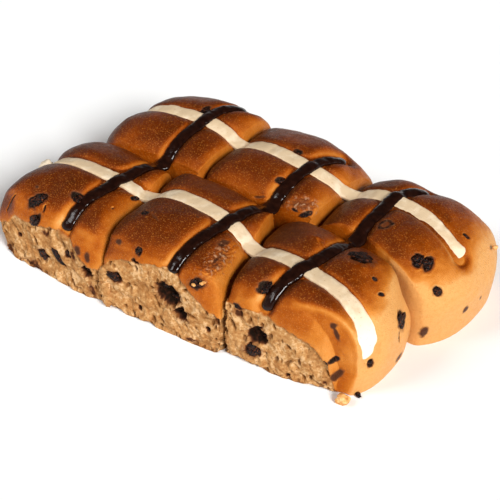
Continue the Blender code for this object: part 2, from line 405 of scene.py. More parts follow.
def bun_cage(across, down):
    """Directions and faces of a box grid with so many cells across and down."""
    line = np.linspace(-1, 1, across + 1)
    x, y = np.meshgrid(line, line, indexing="ij")
    top = np.stack([x, y, np.ones_like(x)], axis=2).reshape(-1, 3)
    number = np.arange((across + 1) ** 2).reshape(across + 1, across + 1)
    rim = np.concatenate([number[:-1, 0], number[-1, :-1], number[:0:-1, -1], number[0, :0:-1]])
    levels = np.linspace(1, LOWEST, down + 1)[1:]
    sides = np.concatenate([top[rim] * (1, 1, level) for level in levels])
    shares = 1 - np.arange(1, BASE_RINGS) / BASE_RINGS
    base = np.concatenate([top[rim] * (share, share, LOWEST) for share in shares] + [[[0, 0, LOWEST]]])

    ring_count = down + BASE_RINGS
    rings = len(top) + np.arange((ring_count - 1) * len(rim)).reshape(-1, len(rim))
    rings = np.concatenate([rim[None], rings])
    outer, inner = rings[:-1], rings[1:]
    quads = [np.stack([number[:-1, :-1], number[1:, :-1], number[1:, 1:], number[:-1, 1:]], axis=2),
             np.stack([outer, inner, np.roll(inner, -1, 1), np.roll(outer, -1, 1)], axis=2)]
    last = rings[-1]
    centre = np.full(len(rim), len(top) + (ring_count - 1) * len(rim))
    fan = np.stack([last, centre, np.roll(last, -1)], axis=1)
    faces = [quad for block in quads for quad in block.reshape(-1, 4).tolist()] + fan.tolist()
    return np.concatenate([top, sides, base]), faces


directions, faces = bun_cage(12, 8)
print("a small cage:", len(directions), "points,", len(faces), "faces")

# %% [markdown]
# ## From the cage to smooth buns
#
# The directions are stretched by the bun's own radii, so that the grid's cells come out nearly
# square, and then laid on the dome and pressed by the walls. How far the free dome had gone
# past the tear is kept: it says where the skin is crust and where it is torn crumb.

# %% Lay the skins
CELLS = {"front": (128, 84), "back": (108, 66)}     # across and down, finer beside the tear


def smooth_mesh(name, points, faces):
    """A mesh of points and faces, shaded smoothly."""
    mesh = bpy.data.meshes.new(name)
    mesh.from_pydata(points.tolist(), [], faces)
    mesh.shade_smooth()
    return mesh


@dataclass
class Skin:
    """A bun's fine surface, with the amounts that its looks are mixed from."""

    bun: Bun
    mesh: bpy.types.Mesh
    past_tear: np.ndarray
    seams: list

    def measure(self):
        """Reads the points and the directions that they face."""
        count = len(self.mesh.vertices)
        self.points, self.facing = np.empty((2, count * 3))
        self.mesh.vertices.foreach_get("co", self.points)
        self.mesh.vertices.foreach_get("normal", self.facing)
        self.points, self.facing = self.points.reshape(-1, 3), self.facing.reshape(-1, 3)

    def move(self, offsets):
        """Moves each point, but none below the rest face."""
        moved = self.points + offsets
        moved[:, 2] = np.maximum(moved[:, 2], 0)
        self.mesh.vertices.foreach_set("co", moved.ravel())
        self.mesh.update()
        self.measure()


def keep(mesh, name, amounts):
    """Stores an amount at each point of a mesh, for its material to read."""
    stored = mesh.attributes.new(name, "FLOAT", "POINT")
    stored.data.foreach_set("value", np.broadcast_to(amounts, len(mesh.vertices)).astype(np.float32))


def lay_skin(bun, across, down):
    """The bun's smooth surface on a cage."""
    directions, faces = bun_cage(across, down)
    left, right, front, back = bun.radii
    stretch = np.stack([np.where(directions[:, 0] > 0, right, left),
                        np.where(directions[:, 1] > 0, back, front),
                        np.full(len(directions), bun.rise)], axis=1)
    offsets = directions * stretch
    points = bun.middle + offsets / bun.fullness(offsets)[:, None]
    past = [(wall, wall.press(points)) for wall in bun.walls]
    past_tear = next((amounts for wall, amounts in past if wall is tear), np.full(len(points), -1.0))
    seams = [(wall, amounts) for wall, amounts in past if wall is not tear]
    points[:, 2] = np.maximum(points[:, 2], 0)
    base = len(points) - 1 - np.arange(4 * across * (BASE_RINGS - 1) + 1)
    points[base, 2] = 0
    skin = Skin(bun, smooth_mesh(bun.name, points, faces), past_tear, seams)
    skin.measure()
    return skin


skins = {bun.name: lay_skin(bun, *CELLS[place]) for place, row in rows.items() for bun in row}
print({name: len(skin.mesh.vertices) for name, skin in skins.items()})

# %% [markdown]
# ## How far the strips are
#
# Much of what follows depends on how far a point of the crust lies from the strips: the dough
# swelled beside them, and lumps must fade out under them. The distance to a route's nearest
# point, less half a strip's width, is near enough.

# %% Distance from the strips
PASTE_WIDTH, CHOCOLATE_WIDTH = 10 * MM, 8 * MM
ROUTE_SAMPLE = 2             # every second point of a route is near enough
BATCHES = 24                 # distances are worked out in parts, to save memory


def away_from(route, points, width):
    """How far each point lies outside a strip of that width, or 0 within it."""
    line = route[::ROUTE_SAMPLE]
    nearest = np.empty(len(points))
    for some in np.array_split(np.arange(len(points)), BATCHES):
        squares = ((points[some, None] - line) ** 2).sum(axis=2)
        nearest[some] = np.sqrt(squares.min(axis=1))
    return np.maximum(nearest - width / 2, 0)


def strips_over(bun):
    """The names of the paste strip and the chocolate strip that cross a bun."""
    place = next(place for place, row in rows.items() if bun in row)
    side = next(side for side, column in columns.items() if bun in column)
    return "paste_strip_" + place, "chocolate_strip_" + side


for skin in skins.values():
    paste, chocolate = strips_over(skin.bun)
    skin.from_paste = away_from(routes[paste], skin.points, PASTE_WIDTH)
    skin.from_chocolate = away_from(routes[chocolate], skin.points, CHOCOLATE_WIDTH)
    print(skin.bun.name, "points under strips:", int((skin.from_paste * skin.from_chocolate == 0).sum()))

# %% [markdown]
# ## Where the crust tore
#
# When a slab is pulled from its batch, the crust gives way along a wandering line, and the crumb
# below it pulls apart. The line's stops are along the torn side and above the rest face, in mm.
# A margin says how far round each corner the crumb reaches, because a tear doesn't stop
# where the dome meets the torn plane.

# %% Torn edge
TORN_EDGES = {
    "bun_front_left": ((-126, 22), (-117, 27), (-111, 34), (-92, 35), (-80, 37.5), (-70, 36.5),
                       (-62, 29.5), (-55, 24.5), (-47, 24)),
    "bun_front_middle": ((-48, 30), (-38, 36), (-27, 40), (-6, 45), (3, 43), (11, 37.5),
                         (22, 29), (30, 24.5)),
    "bun_front_right": ((33, 37), (57, 38.5), (72, 34), (81, 30), (88, 23), (92, 15), (96, 0)),
}
TORN_MARGINS = ((-126, 1.5), (-118, 8), (66, 8), (84, 3))    # along the side, and round a corner, mm
NO_TEAR = 1.0                # metres: far from any tear
RAGGEDNESS = ((9, 1.3), (3.2, 0.9), (1.3, 0.5))      # size and height of the edge's wandering, mm


def above_tear(skin):
    """How far each point stands above the torn edge, and how far it lies short of the torn side."""
    if skin.bun.name not in TORN_EDGES:
        return np.full((2, len(skin.points)), NO_TEAR)
    across, heights = np.array(TORN_EDGES[skin.bun.name]).T * MM
    places, margins = np.array(TORN_MARGINS).T * MM
    along = skin.points[:, 0]
    return (skin.points[:, 2] - np.interp(along, across, heights),
            -skin.past_tear - np.interp(along, places, margins))


def crumb_share(skin):
    """1 where a skin is torn crumb, 0 where it is crust, with a ragged edge between."""
    above, short = above_tear(skin)
    ragged = sum(height * MM * lumps(skin.points, size * MM, 3) for size, height in RAGGEDNESS)
    return ease(-above - ragged, -0.3 * MM, 0.6 * MM) * ease(-short, -1.5 * MM, 0)


for skin in skins.values():
    skin.crumb = crumb_share(skin)
    print(skin.bun.name, "share of torn points:", round(skin.crumb.mean(), 2))

# %% [markdown]
# ## Crust that swelled
#
# Paste doesn't stretch as dough does, so in the oven the dough swells up between the strips
# and leaves them in grooves. How far a point stands out depends only on how far it lies from
# the nearest strip's edge. Beside a seam the crust tucks down instead, and above the tear it
# rolls back from the torn side. Lumps of three sizes make each cushion its own shape, and a few
# broad patches sank or rose as the slab cooled. The strips follow those patches later.

# %% Swell the crust
TROUGH = 2.4 * MM            # how far the crust under a strip lies below the smooth dome
SWELL = ((2.1, 1.7), (1.8, 8.0))         # height and shoulder of each part of the swelling, mm
BLEND = 3 * MM               # over which the swelling beside one strip meets that beside another
SEAM_TUCK, TUCK_REACH = 1.6 * MM, 5 * MM
CORNER_TUCK, CORNER_REACH = 1.6 * MM, 6 * MM
PARTING = 1.3 * MM           # how far the middle and right buns stand apart at the torn side
CRUST_LUMPS = ((26, 1.0), (11, 0.38), (4, 0.10))      # size and height, mm
ROLL, ROLL_HEIGHT, ROLL_DEPTH = 2.8 * MM, 12 * MM, 9 * MM
CALM = 6 * MM                # over which lumps fade out towards a strip
FOOT, SHOULDER = 4 * MM, 26 * MM         # heights between which the swelling sets in
SETTLED = {                  # a place on a bun, over what reach it sank or rose, and how far: mm
    "bun_front_left": (((-118, -22, 42), 18, -1.5),),
    "bun_front_right": (((110, -13, 38), 15, -5.0),),
    "bun_back_left": (((-100, 62, 46), 23, -3.6), ((-60, 62, 52), 20, 2.4)),
    "bun_back_middle": (((-28, 66, 50), 16, -2.5), ((28, 58, 42), 20, -4.5)),
    "bun_back_right": (((112, 52, 42), 22, -3.5), ((60, 62, 50), 16, 1.0)),
}


def swelling(skin):
    """How far the crust stands out from the smooth dome."""
    near = np.exp(-skin.from_paste / BLEND) + np.exp(-skin.from_chocolate / BLEND)
    away = np.maximum(-BLEND * np.log(near + 1e-30), 0)
    rise = sum(height * MM * (1 - np.exp(-away / (shoulder * MM))) for height, shoulder in SWELL) - TROUGH
    calm = ease(away, 0, CALM)
    for size, height in CRUST_LUMPS:
        rise += calm * height * MM * lumps(skin.points, size * MM, 11)
    return rise * ease(skin.points[:, 2], FOOT, SHOULDER)


def tucking(skin):
    """How far the crust falls away beside the seams, more where two buns have parted."""
    inward = np.zeros(len(skin.points))
    high = ease(skin.points[:, 2], 12 * MM, 42 * MM)
    for wall, past in skin.seams:
        near = np.exp(np.minimum(past, 0) / TUCK_REACH)
        inward -= SEAM_TUCK * near * high
        if wall.stops is FRONT_RIGHT:
            inward -= PARTING * near * ease(-skin.points[:, 1], 30 * MM, 62 * MM)
    for (_, first), (_, second) in itertools.combinations(skin.seams, 2):
        inward -= CORNER_TUCK * high * np.exp((np.minimum(first, 0) + np.minimum(second, 0)) / CORNER_REACH)
    return inward


def settling(name, points):
    """How far a bun sank or rose off its rule at some points, in broad soft patches."""
    total = np.zeros(len(points))
    for place, reach, height in SETTLED.get(name, ()):
        away = np.linalg.norm(points / MM - place, axis=1) / reach
        total += height * MM * np.exp(-away ** 2)
    return total


def rolling(skin):
    """How far the crust above the tear has rolled back from the torn side."""
    above, _ = above_tear(skin)
    return ease(skin.past_tear, -ROLL_DEPTH, 0) * np.clip(above / ROLL_HEIGHT, 0, 1.2) ** 1.6 * ROLL


for skin in skins.values():
    raised = swelling(skin) + tucking(skin) + settling(skin.bun.name, skin.points)
    skin.shape = raised * (1 - skin.crumb)
    skin.roll = rolling(skin)
    print(skin.bun.name, "swells", round(skin.shape.min() / MM, 2), "to",
          round(skin.shape.max() / MM, 2), "mm")

# %% [markdown]
# ## Crumb that tore
#
# Torn crumb is soft mounds, pulled tufts with sharp valleys between them, and bubbles. The
# valleys come from folding the lumps at zero, which turns a smooth wave into ridges. Real pores
# are holes, but a hole cut by a Boolean would cost far more than pushing the points inside a
# small ellipse inwards, which looks the same from outside. The foot of the torn side has curled
# a little way off the floor, here more and there less.

# %% Tear the crumb
CRUMB_RECESS = 0.6 * MM
MOUNDS = ((15, 15, 11), 2.0)             # size and height of lumps, mm
TUFTS = (((8, 8, 12), 1.3), ((3.0, 3.0, 5), 0.24))
TATTERS = ((1.3, 1.3, 2.2), 0.15)
FOOT_LIFT, FOOT_REACH = 2.2 * MM, 6 * MM     # how far the torn side's foot curls off the floor
PULL, PULL_SIZE = 6 * MM, 12 * MM        # how far the tufts are dragged, and how wide each drag is
PORE_COUNT = 260
PORE_SIZES = 0.35 * MM, 1.35 * MM        # the smallest, which are the most common, and the largest
PORE_DEPTH = 1.5 * MM
RIDGE_SHARPNESS, RIDGE_SHARE = 3, 0.6


def sized_lumps(points, lump, shift):
    size, height = lump
    return height * MM * lumps(points, np.array(size) * MM, shift)


def tearing(skin):
    """How far torn crumb stands out from its plane."""
    drag = np.stack([lumps(skin.points, PULL_SIZE, shift) for shift in (41, 43, 47)], axis=1)
    dragged = skin.points + PULL * drag
    relief = sized_lumps(skin.points, MOUNDS, 17) + sized_lumps(skin.points, TATTERS, 19) - CRUMB_RECESS
    for size, height in TUFTS:
        ridge = 1 - RIDGE_SHARPNESS * np.abs(lumps(dragged, np.array(size) * MM, 31))
        relief += height * MM * np.clip(ridge, -1, 1) * RIDGE_SHARE
    return relief


def lifting(skin):
    """How far the foot of the torn side stands off the floor."""
    foot = (1 - ease(skin.points[:, 2], 0, FOOT_REACH)) * ease(skin.past_tear, -FOOT_REACH, 0)
    return FOOT_LIFT * foot * np.clip(0.35 + 1.3 * lumps(skin.points, 7 * MM, 67), 0, 1)


def pores(skin, count, seed):
    """How deep bubbles reach into a torn face, in mm at each point."""
    chance = np.random.default_rng(seed)
    face = np.flatnonzero(skin.crumb > 0.5)
    depth = np.zeros(len(skin.points))
    for centre in skin.points[chance.choice(face, count)]:
        size = PORE_SIZES[0] + (PORE_SIZES[1] - PORE_SIZES[0]) * chance.random() ** 4
        lean = chance.normal(0, 0.5)
        long = size * chance.uniform(1.1, 2.6)
        x, z = (skin.points[face] - centre)[:, [0, 2]].T
        across, up = x * math.cos(lean) - z * math.sin(lean), x * math.sin(lean) + z * math.cos(lean)
        hole = 1 - (across / size) ** 2 - (up / long) ** 2
        depth[face] = np.maximum(depth[face], np.sqrt(np.maximum(hole, 0)) * size / MM)
    return depth


for number, skin in enumerate(skins.values()):
    skin.pits = np.zeros(len(skin.points))
    skin.lift = lifting(skin)
    if skin.bun.name in TORN_EDGES:
        skin.pits = pores(skin, PORE_COUNT, number)
        torn = tearing(skin) - PORE_DEPTH * np.minimum(skin.pits, 1.2)
        skin.shape += torn * skin.crumb * ease(skin.points[:, 2], -0.5 * MM, 1.5 * MM)
        print(skin.bun.name, "deepest tear:", round(skin.shape.min() / MM, 2), "mm")

# %% [markdown]
# ## What shows in the surface
#
# Chips lie in the crust, under it and in the crumb. Each mark is a place, a length and a width
# in mm, and the turn of its length. A mark presses the skin in or lifts it and stains it, and
# some also hold a lump of chocolate. Kinds say how much: a ghost is a chip that shows dark
# through the skin, a melt is one that ran and set rough and shiny, and a cavity is a bubble
# lined with chocolate.

# %% Kinds of mark
@dataclass
class Kind:
    """How far a mark presses the skin in, in mm, how dark it stains inside and just outside its
    outline, which for a crease is painted shade, how high its rim is, in mm, how rough its inside
    is, how glossy, which also sets where pale glints are painted as painted highlights, and how
    soft its outline is."""

    press: float
    stain_and_shade: float
    halo: float
    rim: float = 0
    rough: float = 0
    gloss: float = 0
    soft: float = 0


KINDS = {
    "chip": Kind(0.4, 1.0, 0.30, rim=0.10),
    "chunk": Kind(0.9, 0.95, 0.30),
    "ghost": Kind(-0.15, 0.58, 0.10, soft=0.4),
    "slit": Kind(1.2, 0.9, 0.05, rim=0.05),
    "hole": Kind(2.4, 1.0, 0.25),
    "melt": Kind(0.3, 0.36, 0.05, rough=0.45, gloss=1.0, soft=0.6),
    "ring": Kind(0.3, 0.90, 0.30, rim=0.2, rough=0.3, gloss=0.5),
    "smear": Kind(0.3, 0.52, 0.25, rough=0.5, soft=0.25),
    "cavity": Kind(4.5, 0.95, 0.22, rough=0.9),
    # A crease is darkened through the stain amount, as painted shade in its fold.
    "crease": Kind(0.6, 0.45, 0.05, rim=0.12),
    "dimple": Kind(0.9, 0.0, 0.0, rim=0.3),
}
print("kinds of mark:", ", ".join(KINDS))

# %% [markdown]
# ## A mark on the skin
#
# Each mark finds the nearest point of a skin and lies flat on it there. Its outline is an ellipse
# that lumps make ragged, as no chip is round.

# %% Marks
RAGGED = 0.28                # how far an outline wanders, as a share of its size
MARK_LUMP = 2.5 * MM
MARK_DEPTH = 6 * MM          # a mark doesn't reach through to a bun's other side
FAR = 9                      # well outside a mark, where 1 is its outline


@dataclass
class Mark:
    """A mark on a bun: its kind, its place, length and width in mm, and its turn in degrees."""

    kind: str
    place: tuple
    long: float
    wide: float
    turn: float = 0

    def settle(self, skins):
        """Moves the mark onto the nearest skin and sets the directions of its length and width."""
        place = np.array(self.place, float) * MM
        best = None
        for skin in skins:
            gaps = ((skin.points - place) ** 2).sum(axis=1)
            nearest = gaps.argmin()
            if best is None or gaps[nearest] < best[0]:
                best = gaps[nearest], skin, nearest
        _, self.skin, nearest = best
        self.index = nearest
        self.centre, self.up = self.skin.points[nearest], self.skin.facing[nearest]
        start = np.array([1.0, 0, 0]) if abs(self.up[0]) < 0.9 else np.array([0, 1.0, 0])
        first = start - self.up * start.dot(self.up)
        first /= np.linalg.norm(first)
        second = np.cross(self.up, first)
        turn = math.radians(self.turn)
        self.lengthways = first * math.cos(turn) + second * math.sin(turn)
        self.sideways = np.cross(self.up, self.lengthways)

    def spread(self, points):
        """How far out each point lies: 1 is the mark's ragged outline."""
        offsets = points - self.centre
        along = offsets @ self.lengthways / (self.long / 2 * MM)
        across = offsets @ self.sideways / (self.wide / 2 * MM)
        ragged = 1 + RAGGED * lumps(points, MARK_LUMP, 53)
        return np.where(np.abs(offsets @ self.up) < MARK_DEPTH, np.hypot(along, across) * ragged, FAR)


tried = Mark("chip", (0, -40, 60), 8, 6)
tried.settle(skins.values())
print("a mark let fall over the front row lies on", tried.skin.bun.name)

# %% [markdown]
# ## Pressing and staining
#
# A mark moves the points round it along the direction in which they face, and darkens them. The
# amounts are only gathered here. The skins are moved once, when all of the marks are in.

# %% Pressing and staining
RIM_PLACE, RIM_WIDTH = 1.35, 0.3
RING_PLACE, RING_WIDTH = 0.8, 0.25
HALO_WIDTH = 0.4


def make_mark(mark):
    """Presses, lifts and stains the skin round a mark."""
    skin, kind = mark.skin, KINDS[mark.kind]
    reach = 1.3 * mark.long * MM + 2 * MM
    near = np.flatnonzero(((skin.points - mark.centre) ** 2).sum(axis=1) < reach ** 2)
    points = skin.points[near]
    spread = mark.spread(points)
    inside = 1 - ease(spread, 0.75 - kind.soft, 1.15 + kind.soft / 2)
    rim = np.exp(-((spread - RIM_PLACE) / RIM_WIDTH) ** 2)
    if mark.kind == "ring":
        inside = np.exp(-((spread - RING_PLACE) / RING_WIDTH) ** 2)
    rough = kind.rough * lumps(points, 1.3 * MM, 59) * inside
    bowl = np.sqrt(np.clip(1 - (spread / 1.1) ** 2, 0, 1)) if mark.kind in ("cavity", "hole") else inside
    skin.shape[near] += (rough + kind.rim * rim - kind.press * bowl) * MM
    halo = kind.halo * np.exp(-(np.maximum(spread - 1, 0) / HALO_WIDTH) ** 2)
    uneven = 1 + 0.5 * lumps(points, 1.6 * MM, 61) if kind.rough else 1
    stain_and_shade = np.maximum(kind.stain_and_shade * inside, halo * (spread < 2)) * uneven
    skin.stain_and_shade[near] = np.maximum(skin.stain_and_shade[near], stain_and_shade)
    skin.gloss[near] = np.maximum(skin.gloss[near], kind.gloss * inside)


for skin in skins.values():
    skin.stain_and_shade, skin.gloss = np.zeros((2, len(skin.points)))
print("skins ready for marks:", len(skins))

# %% [markdown]
# ## Where the marks are
#
# The named marks are the ones that make this slab this slab. The sides that are rarely seen get
# the same kinds at random, from a seeded generator, and none of those lies close to a seam or a strip.

# %% Place the marks
CRUST_MARKS = {              # by kind: place, length, width and turn, in mm and degrees
    "chip": ((-98, -71, 46, 12.5, 7, 45), (-78, -60, 51, 7.9, 6.8, 20),
             (-95, -76, 37, 9, 5.6, 47), (-109, -40, 51, 8, 2.5, 4), (-55, -37, 47, 6, 3, 65),
             (-34, -54, 54, 4.9, 4, 0), (-23, -73, 46, 4.6, 4.2, 0), (15, -76, 43, 7.8, 4.9, 0),
             (50, -61, 50, 8.5, 6.5, 60), (80, -17, 54, 13, 11, 18), (93, -25, 51, 3, 2.7, 0),
             (99, -29, 46, 4.3, 2.3, 50), (94, -63, 23, 5.6, 3.2, 47), (106, -48, 19, 4.5, 4, 0),
             (39, -71, 37, 5.6, 4.2, 0), (107, -22, 29, 11, 8.5, -79), (-71, 48, 55, 8, 3.7, 78),
             (-114, 20, 35, 4, 3, 70), (-15, 37, 55, 3.5, 3, 0), (-1, 43, 56, 5.8, 2.7, 0),
             (5, 17, 53, 5.6, 3.6, 53), (30, 6, 47, 7.7, 2.9, 47), (23, 5, 47, 4.5, 1.8, 0),
             (102, 5, 48, 8, 6.5, 95), (107, 7, 47, 9, 6, 104), (116, 2, 36, 5.5, 4.9, 0),
             (112, 40, 48, 5, 2.2, 0)),
    "slit": ((-91, -72, 44, 4.5, 1.3, 94), (-116, -74, 38, 14, 1.1, 65),
             (90, -63, 19, 5.2, 2, -66), (108, -26, 22, 9, 1.4, -79)),
    "ghost": ((-103, -65, 49, 3, 2.6, 0), (-62, -79, 33, 6.3, 4.7, -60),
              (-56, -79, 31, 7, 3.7, -81), (-121, -66, 39, 5, 3, 60), (-37, -74, 46, 5, 4.4, 0),
              (-8, -42, 56, 2.6, 1.6, 0), (6, -52, 54, 5, 3, 40), (93, -62, 39, 10.4, 3, -60),
              (91, -63, 43, 4.5, 4, 0), (96, -63, 13, 10, 4.8, 66), (107, -23, 5, 9, 5, 0),
              (125, 19, 17, 6, 5.6, 0), (114, -4, 12, 11, 5, 79), (126, 34, 15, 3, 3, 0)),
    "hole": ((-58, -54, 48, 1.2, 1.2, 0), (-24, -78, 41, 4.6, 3.5, 0)),
    "crease": ((-27, -54, 55, 9, 1.8, -20), (-1, 5, 45, 8, 2, 30)),
    "melt": ((18, -57, 50, 30, 12, 98), (25, 9, 49, 22, 9, 20)),
    "smear": ((13, -47, 52, 8.8, 5, 72), (17, -59, 50, 6, 2.4, 96), (40, -72, 32, 6.9, 4.4, 0)),
    "dimple": ((57, -19, 55, 7.8, 2.6, -10),),
    "ring": ((74, 16, 53, 8.3, 6.7, 58),),
}
CRUMB_MARKS = {              # place along the torn side, height, length, width and turn
    "chunk": ((-92, 15, 7.4, 8, 0), (-80, 18, 12.6, 5.6, -48), (-72, 24, 5, 4, 0),
              (-38, 25, 9, 6.7, 0), (49, 12, 9.6, 8, 0), (-7, 29, 6, 5, 30), (-1, 23, 7, 5, -40),
              (55, 20, 5, 4, 60), (-57, 18, 5, 4, 0), (6, 17, 5, 4, 0)),
    "smear": ((-99, 3, 9, 8, 0), (-121, 3, 8, 9, 0), (-68, 26, 5, 6.4, 0), (-55, 6, 12.8, 4, -83),
              (-89, 30, 5, 3.4, 0), (-104, 2, 14, 2.5, 0), (28, 22, 8, 3, -69),
              (12, 2, 8, 2.4, 0), (90, 5, 3.6, 2.7, 0)),
    "cavity": ((-58, 19, 8.5, 8, 30), (-4, 27, 16.5, 15, 20), (5, 17, 10.5, 8.5, 0),
               (51, 22, 12.5, 10.5, 40)),
    "hole": ((-110, 20, 3, 2.4, 0), (22, 14, 3.3, 2.6, 0), (70, 3, 2.4, 2, 0)),
    "slit": ((-23, 8, 3.4, 2.5, 80),),
}
UNSEEN_MARKS = 34
UNSEEN_SEED = 5
OFF_SEAMS, OFF_STRIPS, OFF_FLOOR = 6 * MM, 5 * MM, 5 * MM


def unseen_marks(skins, count, seed):
    """Chips and ghosts on the sides that face away, away from the seams and the strips."""
    chance = np.random.default_rng(seed)
    marks = []
    while len(marks) < count:
        skin = skins[chance.integers(len(skins))]
        i = chance.integers(len(skin.points))
        free = all(past[i] < -OFF_SEAMS for _, past in skin.seams)
        clear = min(skin.from_paste[i], skin.from_chocolate[i]) > OFF_STRIPS
        if free and clear and skin.points[i, 2] > OFF_FLOOR and skin.facing[i] @ towards_camera < 0.05:
            kind = "chip" if chance.random() < 0.55 else "ghost"
            long = chance.uniform(3, 10)
            marks.append(Mark(kind, tuple(skin.points[i] / MM), long, long * chance.uniform(0.45, 0.9),
                              chance.uniform(0, 180)))
    return marks


marks = [Mark(kind, (x, y, z), long, wide, turn)
         for kind, found in CRUST_MARKS.items() for x, y, z, long, wide, turn in found]
marks += [Mark(kind, (x, level_at(TEAR, 0, x * MM) / MM, z), long, wide, turn)
          for kind, found in CRUMB_MARKS.items() for x, z, long, wide, turn in found]
marks += unseen_marks(list(skins.values()), UNSEEN_MARKS, UNSEEN_SEED)
for mark in marks:
    mark.settle(skins.values())
    make_mark(mark)
print("marks:", len(marks), "by kind:", {name: sum(mark.kind == name for mark in marks) for name in KINDS})

# %% [markdown]
# ## Tools for finishes
#
# A finish is a small graph of nodes. One function adds a node, sets its options and fills its
# sockets, either with a value or with a link from another node. Colours are written as hex
# codes, as a paint chart gives them, and turned to the linear values that light adds up in. Some
# of a Mix node's sockets share a name, so they go by number: 0 is the share, 2 and 3 are the
# values and 6 and 7 the colours that it mixes. A mix of colours comes out of output 2.

# %% Node helper
def linear(code):
    """The linear colour of an sRGB hex code."""
    shares = [int(code[i:i + 2], 16) / 255 for i in (1, 3, 5)]
    return [s / 12.92 if s <= 0.04045 else ((s + 0.055) / 1.055) ** 2.4 for s in shares] + [1]


def add_node(material, kind, sockets=None, out=0, **options):
    """Adds a shader node and returns one of its outputs. Sockets are given by name or number, as
    a value, a hex code or the output that feeds them, and a ramp's stops as pairs of a place and
    a colour."""
    node = material.node_tree.nodes.new("ShaderNode" + kind)
    for number, (place, colour) in enumerate(options.pop("stops", ())):
        elements = node.color_ramp.elements
        if number == 0:
            elements.remove(elements[1])
            elements[0].position = place
        element = elements.new(place) if number else elements[0]
        element.color = linear(colour) if isinstance(colour, str) else colour
    for option, value in options.items():
        setattr(node, option, value)
    for name, value in (sockets or {}).items():
        if isinstance(value, bpy.types.NodeSocket):
            material.node_tree.links.new(value, node.inputs[name])
        else:
            node.inputs[name].default_value = linear(value) if isinstance(value, str) else value
    return node.outputs[out] if node.outputs else None


def new_finish(name):
    """An empty material, and the output of a node that gives points in metres."""
    material = bpy.data.materials.new(name)
    material.use_nodes = True
    material.node_tree.nodes.clear()
    return material, add_node(material, "TexCoord", out="Object")


def finish_surface(material, sockets, height=None, strength=1.0):
    """Adds the surface shader, with a bump of up to 1 mm where a height is given, and sends it to
    the output."""
    if height is not None:
        sockets["Normal"] = add_node(material, "Bump", {"Height": height, "Strength": strength,
                                                        "Distance": 1 * MM})
    add_node(material, "OutputMaterial", {"Surface": add_node(material, "BsdfPrincipled", sockets)})
    return material


print("linear mid grey:", round(linear("#808080")[0], 3))


# %% [markdown]
# ## Baked milk-dough crust, torn crumb
#
# The dough is a milk dough with a little cocoa from its chips. Its top was glazed and baked, so
# it is a thin satin skin, nearly the colour of mahogany where the oven's heat fell on it and
# honey-coloured down the sides. The eye reads it as baked from three things: the colour follows
# the shape, the skin is freckled with tiny pale blisters, and its gloss is broken by a fine
# orange-peel grain. The torn crumb is matt, open and the colour of weak tea.
#
# Both are one finish, mixed by the amounts stored at the points, so that the edge between them
# can be as ragged as it is on a real tear. A stain of chocolate goes over both, and with it the
# painted shade of the creases.

# %% Colours of crust and crumb
MOTTLE, BLISTER = 2.4 * MM, 0.7 * MM
GRAIN = 0.5 * MM             # drawn 2 times coarser than it is
CRUMB_CELL, CRUMB_PORE = 2.2 * MM, 2.2 * MM


def crust_colour(material, bake, mottle, blisters):
    """Brown that follows the baking and the painted shade and light, freckled with pale blisters."""
    baked = add_node(material, "Math", {0: mottle, 1: 0.14, 2: bake}, operation="MULTIPLY_ADD")
    brown = add_node(material, "ValToRGB", {"Fac": baked}, stops=(
        (0.06, "#DCA05C"), (0.22, "#CE843A"), (0.38, "#BE6E22"), (0.54, "#A6520C"),
        (0.68, "#883A00"), (0.82, "#662600"), (1.0, "#4A1A00")))
    freckle = add_node(material, "MapRange", {"Value": blisters, "From Min": 0.57, "From Max": 0.72,
                                              "To Max": 0.5})
    return add_node(material, "Mix", {0: freckle, 6: brown, 7: "#C87C34"}, out=2, data_type="RGBA")


def crumb_colour(material, place, pit, cells):
    """The colour of weak tea, with painted shade darkening the pores."""
    patches = add_node(material, "TexNoise", {"Vector": place, "Scale": 1 / (8 * MM), "Detail": 2.0})
    tone = add_node(material, "Math", {0: patches, 1: 0.7, 2: cells}, operation="MULTIPLY_ADD")
    crumb = add_node(material, "ValToRGB", {"Fac": tone}, stops=(
        (0.56, "#8A5A2C"), (0.74, "#A67342"), (0.90, "#B98A56"), (1.05, "#D2A878")))
    # Painted shade: the pores, and small specks between them, are painted dark brown as the shade inside
    # holes.
    bubbles = add_node(material, "TexVoronoi", {"Vector": place, "Scale": 1 / CRUMB_PORE})
    fine_pore_shade = add_node(material, "MapRange", {"Value": bubbles, "From Min": 0.10, "From Max": 0.26,
                                                "To Min": 0.55, "To Max": 0.0})
    pore_shade = add_node(material, "MapRange", {"Value": pit, "From Min": 0.10, "From Max": 0.7,
                                             "To Max": 0.8})
    pore_shade = add_node(material, "Math", {0: pore_shade, 1: fine_pore_shade}, operation="MAXIMUM")
    return add_node(material, "Mix", {0: pore_shade, 6: crumb, 7: "#643814"}, out=2, data_type="RGBA")


def stained_colour(material, colour, stain_and_shade, gloss, mottle):
    """Chocolate that ran into the dough, and painted shade in creases, over a colour, with pale painted
    highlights as glints where it set glossy.
    """
    uneven = add_node(material, "Math", {0: mottle, 1: 0.25, 2: stain_and_shade}, operation="MULTIPLY_ADD")
    cover = add_node(material, "MapRange", {"Value": uneven, "From Min": 0.24, "From Max": 0.58})
    cocoa = add_node(material, "ValToRGB", {"Fac": stain_and_shade}, stops=(
        (0.2, "#7A4222"), (0.5, "#4E2A18"), (0.8, "#2A140C"), (1.0, "#140A06")))
    colour = add_node(material, "Mix", {0: cover, 6: colour, 7: cocoa}, out=2, data_type="RGBA")
    # Painted highlights: pale glints are painted where a mark is glossy.
    painted_glints = add_node(material, "MapRange", {"Value": mottle, "From Min": 0.56, "From Max": 0.62,
                                             "To Max": 0.6})
    painted_glints = add_node(material, "Math", {0: painted_glints, 1: gloss}, operation="MULTIPLY")
    return add_node(material, "Mix", {0: painted_glints, 6: colour, 7: "#C99A72"}, out=2, data_type="RGBA")


print("the palest crust is linear", [round(share, 2) for share in linear("#DCA05C")[:3]])

